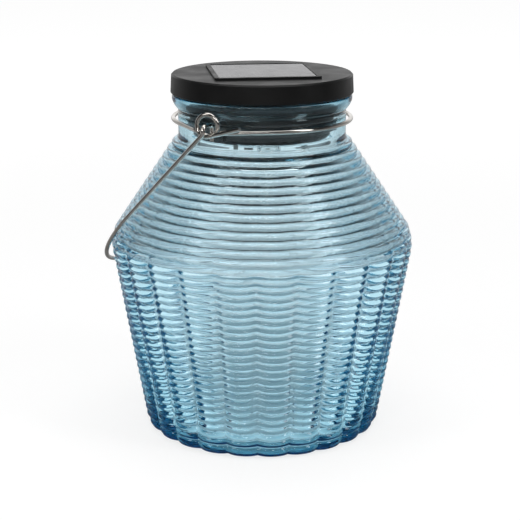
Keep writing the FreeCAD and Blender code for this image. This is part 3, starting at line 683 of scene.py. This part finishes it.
@dataclass
class GlassJar:
    """The ribbed jar: rows of ring beads that swell out between upright creases, with a smooth inside.

    Sizes are in millimetres. A section is a radius and a height, and radii are in the grooves between the
    beads. The lobe steps are the places of the points across one lobe, from crease at -1 to crease at 1.
    """

    foot: Section = (54.25, 1.2)
    belly_low: Section = (68.9, 85.0)
    belly_mid: Section = (69.0, 88.5)
    belly_top: Section = (68.3, 91.95)
    shoulder_top: Section = (38.9, 135.5)
    neck_low: Section = (38.2, 137.4)
    lip_low: Section = (38.2, 149.2)
    lip_bend: Section = (40.2, 151.0)
    lip_side: Section = (40.9, 153.6)
    lip_top: float = 155.5
    lip_round: float = 0.6
    neck_inner: float = 34.6
    neck_inner_low: float = 139.0
    neck_ease: float = 1.5
    shoulder_wall: float = 1.9
    shoulder_from: float = 0.06
    shoulder_to: float = 0.95
    belly_ease: Section = (0.6, -1.5)
    belly_wall: float = 3.2
    body_wall: float = 5.2
    floor_top: float = 5.0
    floor_mid: float = 4.2
    floor_round: float = 6.0
    middle_share: float = 0.25
    push_up: float = 2.0
    push_up_radius: float = 39.0
    stand_radius: float = 49.5
    body_beads: int = 24
    shoulder_beads: int = 13
    body_bead: Bead = Bead(stand=0.7, cut=0.4, fullness=1.8, steps=8)
    shoulder_bead: Bead = Bead(stand=1.1, cut=0.9, fullness=1.35, steps=11)
    lobes: int = 24
    lobe_turn: float = -2.2
    lobe_depth: float = 2.0
    lobe_inner_depth: float = 1.0
    lobe_shoulder_share: float = 0.17
    lobe_power: float = 2.5
    lobe_full_height: float = 78.0
    lobe_fade_height: float = 93.0
    lobe_foot_reach: float = 9.0
    lobe_steps: tuple[float, ...] = (-1.0, -0.92, -0.74, -0.46, -0.16, 0.16, 0.46, 0.74, 0.92)
    sag: float = 0.7
    sag_low: float = 4.0
    sag_full: float = 12.0
    finish: ColouredGlass = ColouredGlass()

    def bead_row(self, first: Section, last: Section, number: int, bead: Bead) -> list[Section]:
        """Outline points over a row of round beads, without the last groove.

        Args:
            first: where the row starts on its wall line.
            last: where the row ends on its wall line.
            number: how many beads.
            bead: the section of each.

        Returns:
            Sections in order.
        """
        run = (last[0] - first[0], last[1] - first[1])
        length = math.hypot(*run)
        out = (run[1] / length, -run[0] / length)
        points = []
        for index in range(number):
            for step in range(bead.steps):
                turn = math.pi * step / bead.steps
                share = (index + (1.0 - math.cos(turn)) / 2.0) / number
                swell = bead.swell(turn)
                radius = first[0] + run[0] * share + out[0] * swell
                points.append((radius, first[1] + run[1] * share + out[1] * swell))
        return points

    def outside(self) -> list[Section]:
        """Outlines the underside, the bearing ring, the beaded wall, the neck and the lip.

        Returns:
            Sections from near the middle of the underside up to the top of the lip.
        """
        dish = (self.push_up_radius, self.push_up)
        stand = (self.stand_radius, 0.0)
        points = line((dish[0] * self.middle_share, self.push_up), dish, steps=3)
        points += bend(dish, between((dish[0], 0.0), stand, 0.5), stand, steps=9)
        points += bend(stand, (self.foot[0], 0.0), self.foot, steps=7)
        points += self.bead_row(self.foot, self.belly_low, self.body_beads, self.body_bead)
        points += self.bead_row(self.belly_low, self.belly_mid, 1, self.body_bead)
        points += self.bead_row(self.belly_mid, self.belly_top, 1, self.body_bead)
        points += self.bead_row(self.belly_top, self.shoulder_top, self.shoulder_beads, self.shoulder_bead)
        points += bend(self.shoulder_top, (self.neck_low[0], self.shoulder_top[1]), self.neck_low, steps=5)
        points += line(self.neck_low, self.lip_low, steps=4)
        points += bend(self.lip_low, self.lip_bend, self.lip_side, steps=8)
        edge = (self.lip_side[0], self.lip_top - self.lip_round)
        points += line(self.lip_side, edge, steps=2)
        points += bend(edge, (edge[0], self.lip_top), (edge[0] - self.lip_round, self.lip_top), steps=4)
        return points

    def shoulder_inside(self) -> tuple[Section, Section]:
        """Finds the inner line of the shoulder, one wall thickness in from its outer line.

        Returns:
            Its ends at the neck and at the belly.
        """
        run = (self.shoulder_top[0] - self.belly_top[0], self.shoulder_top[1] - self.belly_top[1])
        length = math.hypot(*run)
        inward = (-run[1] / length * self.shoulder_wall, run[0] / length * self.shoulder_wall)
        high = (self.shoulder_top[0] + inward[0], self.shoulder_top[1] + inward[1])
        low = (self.belly_top[0] + inward[0], self.belly_top[1] + inward[1])
        return high, low

    def inside(self) -> list[Section]:
        """Outlines the mouth, the smooth inner wall and the floor.

        Returns:
            Sections from the top of the lip down to near the middle of the floor.
        """
        mouth = self.neck_inner
        rim_out = (self.lip_side[0] - self.lip_round, self.lip_top)
        points = line(rim_out, (mouth + self.lip_round, self.lip_top), steps=3)
        mouth_edge = (mouth, self.lip_top - self.lip_round)
        points += bend(points[-1], (mouth, self.lip_top), mouth_edge, steps=4)
        neck_end = (mouth, self.neck_inner_low)
        points += line(mouth_edge, neck_end, steps=5)
        high, low = self.shoulder_inside()
        shoulder_first = between(high, low, self.shoulder_from)
        points += bend(neck_end, (mouth, high[1] + self.neck_ease), shoulder_first, steps=6)
        shoulder_last = between(high, low, self.shoulder_to)
        points += line(shoulder_first, shoulder_last, steps=8)
        belly = (self.belly_low[0] - self.belly_wall, self.belly_low[1])
        belly_corner = (low[0] + self.belly_ease[0], low[1] + self.belly_ease[1])
        points += bend(shoulder_last, belly_corner, belly, steps=6)
        base = (self.foot[0] - self.body_wall, self.floor_top)
        lower = between(belly, base, 1.0 - self.floor_round / (belly[1] - base[1]))
        points += line(belly, lower, steps=6)
        floor_edge = (base[0] - self.floor_round, self.floor_top)
        points += bend(lower, base, floor_edge, steps=7)
        points += line(floor_edge, (floor_edge[0] * self.middle_share, self.floor_mid), steps=4)
        return points

    def lobe_share(self, height: np.ndarray) -> np.ndarray:
        """How deep the upright creases are at each height, from 0 to 1.

        Args:
            height: heights in millimetres.

        Returns:
            The share of the full crease depth.
        """
        fade = smooth(height, self.lobe_full_height, self.lobe_fade_height)
        low = 1.0 - (1.0 - self.lobe_shoulder_share) * fade
        top = self.shoulder_top[1]
        ease = np.clip((top - height) / (top - self.lobe_fade_height), 0.0, 1.0)
        return low * np.where(height > self.lobe_fade_height, ease, 1.0)

    def ring_points(self, outline: list[Section], depth: float, sag: float) -> np.ndarray:
        """Turns an outline into rows of points round the axis, drawn in at the creases.

        Args:
            outline: the sections in order.
            depth: how deep the creases are where they are full.
            sag: how far a row hangs lower between two creases than at them.

        Returns:
            An array of rows by columns by 3, in metres.
        """
        steps = np.array(self.lobe_steps)
        pitch = 2.0 * math.pi / self.lobes
        across = np.tile(steps, self.lobes)
        turn = np.repeat(np.arange(self.lobes), len(steps)) * pitch + across * pitch / 2.0
        turn = turn + math.radians(self.lobe_turn) + pitch / 2.0
        radius, height = np.array(outline).T
        from_foot = np.clip((radius - self.push_up_radius) / self.lobe_foot_reach, 0.0, 1.0)
        share = self.lobe_share(height) * from_foot * (height < self.shoulder_top[1])
        drawn = radius[:, None] - depth * share[:, None] * np.abs(across[None, :]) ** self.lobe_power
        hang = sag * smooth(height, self.sag_low, self.sag_full) * share
        # Half of the sag lies above the row's own height and half below it.
        level = height[:, None] + hang[:, None] * (across[None, :] ** 2 - 0.5)
        return np.stack([drawn * np.sin(turn), -drawn * np.cos(turn), level], axis=-1) * MM

    def build(self) -> bpy.types.Object:
        """Makes the closed glass mesh.

        Returns:
            The jar's object.
        """
        outer = self.ring_points(self.outside(), self.lobe_depth, self.sag)
        inner = self.ring_points(self.inside(), self.lobe_inner_depth, 0.0)
        rows = np.concatenate([outer, inner])
        number, columns = rows.shape[:2]
        vertices = rows.reshape(-1, 3).tolist()
        low, high = len(vertices), len(vertices) + 1
        vertices += [(0.0, 0.0, self.push_up * MM), (0.0, 0.0, self.floor_mid * MM)]
        last = (number - 1) * columns
        faces = []
        for column in range(columns):
            after = (column + 1) % columns
            for first in range(0, last, columns):
                second = first + columns
                faces.append((first + column, first + after, second + after, second + column))
            faces.append((low, after, column))
            faces.append((last + column, last + after, high))
        mesh = bpy.data.meshes.new("jar_glass")
        mesh.from_pydata(vertices, [], faces)
        mesh.polygons.foreach_set("use_smooth", [True] * len(mesh.polygons))
        mesh.update()
        jar = bpy.data.objects.new("jar_glass", mesh)
        bpy.context.scene.collection.objects.link(jar)
        return jar

    def dress(self, jar: bpy.types.Object, paint: Paint) -> None:
        """Gives the jar its glass and its place in the frame.

        Args:
            jar: the jar's object.
            paint: the materials made so far.
        """
        paint.put(jar, self.finish)
        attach(jar, "jar")
        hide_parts("glass_jar")
        LOG.info("jar_glass: %d faces", len(jar.data.polygons))


@dataclass
class Assembly:
    """Pieces of the frame that keep their CAD shape and get their finishes here."""

    title: str = "pieces"

    def finishes(self) -> dict[str, Finish]:
        """The finish of each node."""
        raise NotImplementedError(self.title)

    def dress(self, nodes: dict[str, bpy.types.Object], paint: Paint) -> None:
        """Gives each node its finish.

        Args:
            nodes: the frame's objects by node name.
            paint: the materials made so far.
        """
        for node, finish in self.finishes().items():
            paint.put(nodes[node], finish)
            LOG.info("%s: %s in %s", self.title, node, finish.name)


@dataclass
class WireBail(Assembly):
    """The neck ring with its two eyes, and the bail that hangs in them."""

    title: str = "wire bail"
    wire: DrawnMetal = DrawnMetal(
        "steel_wire", (0.54, 0.51, 0.47), (0.72, 0.69, 0.65), smooth=0.06, dull=0.14
    )

    def finishes(self) -> dict[str, Finish]:
        """The finish of each node."""
        return {"neck_ring": self.wire, "bail_handle": self.wire}


@dataclass
class LidCap(Assembly):
    """The black cap with its raised bezel."""

    title: str = "lid cap"
    plastic: MouldedPlastic = MouldedPlastic(
        "black_plastic", (0.003, 0.003, 0.0032), (0.005, 0.005, 0.0053), shine=0.32
    )

    def finishes(self) -> dict[str, Finish]:
        """The finish of each node."""
        return {"lid_cap": self.plastic}


@dataclass
class SolarPanel(Assembly):
    """The panel in the bezel: tape, board, cells and the resin cast over them."""

    title: str = "solar panel"
    tape: CellFoam = CellFoam()
    board: PrintedBoard = PrintedBoard(
        "circuit_resin_panel", (0.010, 0.012, 0.014), (0.10, 0.10, 0.105), pitch=95.0
    )
    cells: SiliconStrips = SiliconStrips()
    cover: ClearResin = ClearResin(
        "clear_cover", (0.10, 0.097, 0.115), clear=0.5, smooth=0.10, dull=0.18, index=1.25
    )

    def finishes(self) -> dict[str, Finish]:
        """The finish of each node.

        Returns:
            Finishes by node name.
        """
        return {
            "panel_tape": self.tape,
            "panel_board": self.board,
            "solar_cells": self.cells,
            "panel_cover": self.cover,
        }


@dataclass
class LightPlug(Assembly):
    """The plug under the cap with its seal, door, screws, lens and switch slider."""

    title: str = "light plug"
    plastic: MouldedPlastic = MouldedPlastic(
        "black_plastic_plug",
        (0.003, 0.003, 0.0035),
        (0.006, 0.006, 0.0065),
        smooth=0.18,
        dull=0.30,
        grain=2000.0,
        shine=0.1,
    )
    seal: SoftRubber = SoftRubber("silicone", (0.008, 0.008, 0.009), (0.016, 0.016, 0.017))
    screw: DrawnMetal = DrawnMetal(
        "screw_steel", (0.34, 0.335, 0.33), (0.56, 0.55, 0.54), smooth=0.24, dull=0.38, mark=2600.0
    )
    lens: ClearResin = ClearResin("clear_lens", (0.97, 0.98, 0.98), clear=1.0, smooth=0.02, dull=0.06)
    slider: MouldedPlastic = MouldedPlastic(
        "slider_plastic", (0.55, 0.55, 0.53), (0.66, 0.66, 0.64), smooth=0.3, dull=0.42
    )

    def finishes(self) -> dict[str, Finish]:
        """The finish of each node.

        Returns:
            Finishes by node name.
        """
        return {
            "plug_housing": self.plastic,
            "sealing_ring": self.seal,
            "housing_screws": self.screw,
            "battery_door": self.plastic,
            "door_screws": self.screw,
            "led_lens": self.lens,
            "switch_slider": self.slider,
        }


@dataclass
class Electrics(Assembly):
    """The cell, its contacts, the board with what it carries, and the leads."""

    title: str = "electrics"
    sleeve: ShrinkSleeve = ShrinkSleeve()
    contact: DrawnMetal = DrawnMetal(
        "contact_metal", (0.60, 0.58, 0.53), (0.74, 0.72, 0.67), smooth=0.16, dull=0.28
    )
    board: PrintedBoard = PrintedBoard()
    screw: DrawnMetal = LightPlug.screw
    chip: MouldedPlastic = MouldedPlastic(
        "chip_resin", (0.010, 0.010, 0.011), (0.022, 0.022, 0.023), smooth=0.5, dull=0.62, grain=5200.0
    )
    lamp: ClearResin = ClearResin("clear_lamp", (0.95, 0.86, 0.55), clear=0.75, smooth=0.06, dull=0.12)
    switch: MouldedPlastic = MouldedPlastic(
        "switch_resin", (0.018, 0.018, 0.019), (0.03, 0.03, 0.031), smooth=0.38, dull=0.5
    )
    red: SoftRubber = SoftRubber("red_lead", (0.34, 0.012, 0.010), (0.46, 0.022, 0.018), sheen=0.05)
    black: SoftRubber = SoftRubber("black_lead", (0.010, 0.010, 0.010), (0.022, 0.022, 0.022), sheen=0.05)

    def finishes(self) -> dict[str, Finish]:
        """The finish of each node.

        Returns:
            Finishes by node name.
        """
        return {
            "battery_cell": self.sleeve,
            "contact_positive": self.contact,
            "contact_negative": self.contact,
            "circuit_board": self.board,
            "board_screws": self.screw,
            "driver_chip": self.chip,
            "boost_inductor": self.chip,
            "led": self.lamp,
            "switch_body": self.switch,
            "panel_lead_red": self.red,
            "panel_lead_black": self.black,
            "battery_lead_red": self.red,
            "battery_lead_black": self.black,
        }


@dataclass(frozen=True)
class Softbox:
    """One rectangular studio lamp."""

    name: str
    place: Point
    aim: Point
    width: float
    height: float
    power: float

    def build(self) -> None:
        """Hangs the lamp and turns it to what it lights."""
        data = bpy.data.lights.new(self.name, "AREA")
        data.shape = "RECTANGLE"
        data.size = self.width
        data.size_y = self.height
        data.energy = self.power
        lamp = bpy.data.objects.new(self.name, data)
        lamp.location = self.place
        way = Vector(self.aim) - Vector(self.place)
        lamp.rotation_euler = way.to_track_quat("-Z", "Y").to_euler()
        bpy.context.scene.collection.objects.link(lamp)


@dataclass
class Studio:
    """White paper, pale surroundings that darken overhead and to the sides, soft lamps and the camera.

    Lengths are in metres. The surroundings' own limits are parts of a direction of length 1.
    """

    floor_half: float = 4.0
    floor_drop: float = 0.0003
    paper: Colour = (0.29, 0.29, 0.29)
    near_glow: float = 0.8
    far_glow: float = 0.93
    glow_from: float = 0.3
    glow_to: float = 1.2
    # Painted blue shadow on the paper under the jar, standing in for light that has come through the blue
    # glass, and the reach over which it fades to white.
    painted_jar_shadow: Colour = (0.22, 0.29, 0.325)
    jar_shadow_from: float = 0.03
    jar_shadow_to: float = 0.058
    near_through: float = 1.0
    far_through: float = 0.7
    through_from: float = 0.12
    through_to: float = 0.5
    mirrored: float = 0.3
    mirrored_from: float = 0.06
    mirrored_to: float = 0.3
    band: float = 1.0
    band_top: float = 0.2
    ceiling: float = 0.05
    ceiling_from: float = 0.65
    side: float = 0.25
    side_from: float = 0.3
    side_to: float = 0.85
    front_mirrored: float = 0.08
    front_to: float = -0.3
    back_from: float = 0.5
    bounces: int = 24
    camera_place: Point = (-0.00094, -0.63208, 0.25335)
    camera_tilt: float = 74.4
    lens: float = 96.92
    sensor: float = 36.0
    clip_start: float = 0.01
    lamps: tuple[Softbox, ...] = (
        Softbox("lamp_top", (0.0, 0.1, 1.25), (0.0, 0.0, 0.1), width=1.2, height=1.0, power=7.0),
        Softbox("lamp_left", (-0.9, -0.55, 0.8), (0.0, 0.0, 0.09), width=0.3, height=1.0, power=2.5),
        Softbox("lamp_right", (0.88, -0.53, 0.8), (0.0, 0.0, 0.09), width=0.3, height=1.0, power=4.0),
        Softbox("lamp_front", (-0.2, -0.95, 0.5), (0.0, 0.0, 0.08), width=0.9, height=0.07, power=1.8),
    )

    def build_world(self) -> None:
        """Makes the surroundings: white to the camera, and white round the horizon in the glass.

        They darken overhead and to the sides, and mirror images of the front are dim.
        """
        world = bpy.data.worlds.new("studio")
        bpy.context.scene.world = world
        world.use_nodes = True
        graph = NodeGraph(world.node_tree)
        output = graph.add("ShaderNodeOutputWorld")
        way = graph.add("ShaderNodeSeparateXYZ", Vector=graph.add("ShaderNodeTexCoord").outputs["Generated"])
        path = graph.add("ShaderNodeLightPath")
        up, along = way.outputs[Axis.Z.value], way.outputs[Axis.Y.value]
        level = graph.ease(up, self.band, self.ceiling, self.band_top, self.ceiling_from)
        aside = graph.math(Sum.ABSOLUTE, way.outputs[Axis.X.value])
        sides = graph.ease(aside, 1.0, self.side, self.side_from, self.side_to)
        level = graph.math(Sum.TIMES, level, sides)
        behind = graph.ease(along, self.front_mirrored, 1.0, self.front_to, self.back_from)
        plain = graph.math(Sum.MINUS, 1.0, path.outputs[Ray.GLOSSY.value])
        level = graph.math(Sum.TIMES, level, graph.math(Sum.LARGER, plain, behind))
        strength = graph.math(Sum.LARGER, level, path.outputs[Ray.CAMERA.value])
        around = graph.add("ShaderNodeBackground", Color=WHITE, Strength=strength)
        graph.tree.links.new(around.outputs[0], output.inputs["Surface"])

    def tint_with_painted_shadow(self, graph: ShaderGraph) -> bpy.types.NodeSocket:
        """The paper's colour: white, with a painted blue shadow under the jar that stands in for the light
        that has come through the glass.
        """
        # Painted shadow mask: 0 under the jar, where the paper is painted blue, rising to 1 beyond it.
        out = graph.ease(graph.reach(), 0.0, 1.0, self.jar_shadow_from, self.jar_shadow_to)
        return graph.mix(out, self.painted_jar_shadow, WHITE)

    def seen_level(self, graph: ShaderGraph) -> bpy.types.NodeSocket:
        """How bright the paper shows to the camera, in metal and through glass; it lights nothing else.

        Args:
            graph: the paper's nodes.

        Returns:
            The level.
        """
        path = graph.add("ShaderNodeLightPath")
        away = graph.reach()
        plain = graph.ease(away, self.near_glow, self.far_glow, self.glow_from, self.glow_to)
        refracted = graph.ease(away, self.near_through, self.far_through, self.through_from, self.through_to)
        reflected = graph.ease(graph.axis(Axis.Y), 0.0, self.mirrored, self.mirrored_from, self.mirrored_to)
        level = graph.math(Sum.TIMES, path.outputs[Ray.CAMERA.value], plain)
        for ray, shown in ((Ray.TRANSMISSION, refracted), (Ray.GLOSSY, reflected)):
            level = graph.math(Sum.LARGER, level, graph.math(Sum.TIMES, path.outputs[ray.value], shown))
        return level

    def build_floor(self) -> None:
        """Lays the white paper, which glows towards its far edge and still takes the lantern's shadow."""
        half = self.floor_half
        mesh = bpy.data.meshes.new("paper_floor")
        corners = [(-half, -half, 0.0), (half, -half, 0.0), (half, half, 0.0), (-half, half, 0.0)]
        mesh.from_pydata(corners, [], [(0, 1, 2, 3)])
        floor = bpy.data.objects.new("paper_floor", mesh)
        floor.location.z = -self.floor_drop
        bpy.context.scene.collection.objects.link(floor)
        graph = ShaderGraph("white_paper")
        diffuse = graph.add("ShaderNodeBsdfDiffuse", Color=self.paper)
        glow = graph.add("ShaderNodeEmission", Color=self.tint_with_painted_shadow(graph), Strength=self.seen_level(graph))
        both = graph.tree.nodes.new("ShaderNodeAddShader")
        graph.tree.links.new(diffuse.outputs[0], both.inputs[0])
        graph.tree.links.new(glow.outputs[0], both.inputs[1])
        graph.tree.links.new(both.outputs[0], graph.output.inputs["Surface"])
        mesh.materials.append(graph.material)

    def build_camera(self) -> None:
        """Sets up the camera at the picture's angle."""
        data = bpy.data.cameras.new("camera")
        data.lens = self.lens
        data.sensor_width = self.sensor
        data.clip_start = self.clip_start
        camera = bpy.data.objects.new("camera", data)
        camera.location = self.camera_place
        camera.rotation_euler = (math.radians(self.camera_tilt), 0.0, 0.0)
        bpy.context.scene.collection.objects.link(camera)
        bpy.context.scene.camera = camera

    def build(self) -> None:
        """Sets up the whole studio."""
        bpy.context.scene.view_settings.view_transform = "Standard"
        cycles = bpy.context.scene.cycles
        cycles.max_bounces = self.bounces
        cycles.glossy_bounces = self.bounces
        cycles.transmission_bounces = self.bounces
        self.build_world()
        self.build_floor()
        self.build_camera()
        for lamp in self.lamps:
            lamp.build()
        LOG.info("studio: floor, surroundings, camera and %d lamps", len(self.lamps))


def main() -> None:
    """Builds the studio and dresses each sub-assembly in order."""
    logging.basicConfig(level=logging.INFO, format="%(name)s: %(message)s")
    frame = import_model()
    Studio().build()
    paint = Paint()
    jar = GlassJar()
    jar.dress(jar.build(), paint)
    for assembly in (WireBail(), LidCap(), SolarPanel(), LightPlug(), Electrics()):
        assembly.dress(frame["nodes"], paint)


if __name__ == "__main__":
    main()
